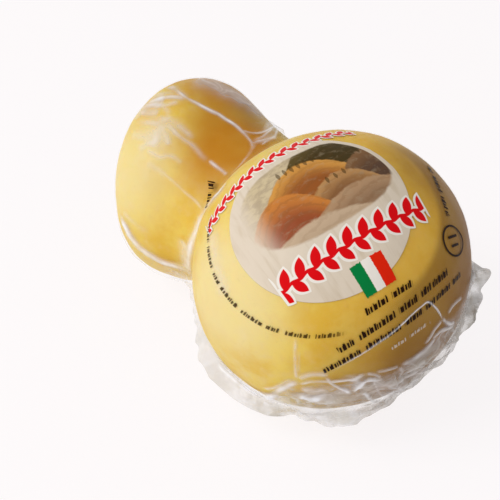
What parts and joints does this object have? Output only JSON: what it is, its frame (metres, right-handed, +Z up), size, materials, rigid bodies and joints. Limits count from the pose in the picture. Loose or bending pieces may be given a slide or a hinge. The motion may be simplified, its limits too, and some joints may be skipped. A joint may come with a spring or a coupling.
{
  "type": "smoked scamorza cheese in clear film",
  "caption": "Pear-shaped smoked scamorza lying on its side in tight clear film, with a crumpled sealed skirt round its flanks.",
  "frame": {"origin": "on the table, at the centre of the flat spot under the round body", "axes": "+Z up; -X from the body to the head, along the cheese; +Y across it"},
  "size_m": [0.1185, 0.0893, 0.0751],
  "materials": {
    "wrapped_cheese": "smooth pale yellow cheese seen through tight clear film",
    "cheese": "smooth waxy skin of smoked stretched-curd cheese",
    "film": "thin clear shrink film, milky where it is creased",
    "print": "printed ink on film"
  },
  "bodies": {
    "root": {"film_pack": "wrapped_cheese"}
  },
  "joints": []
}
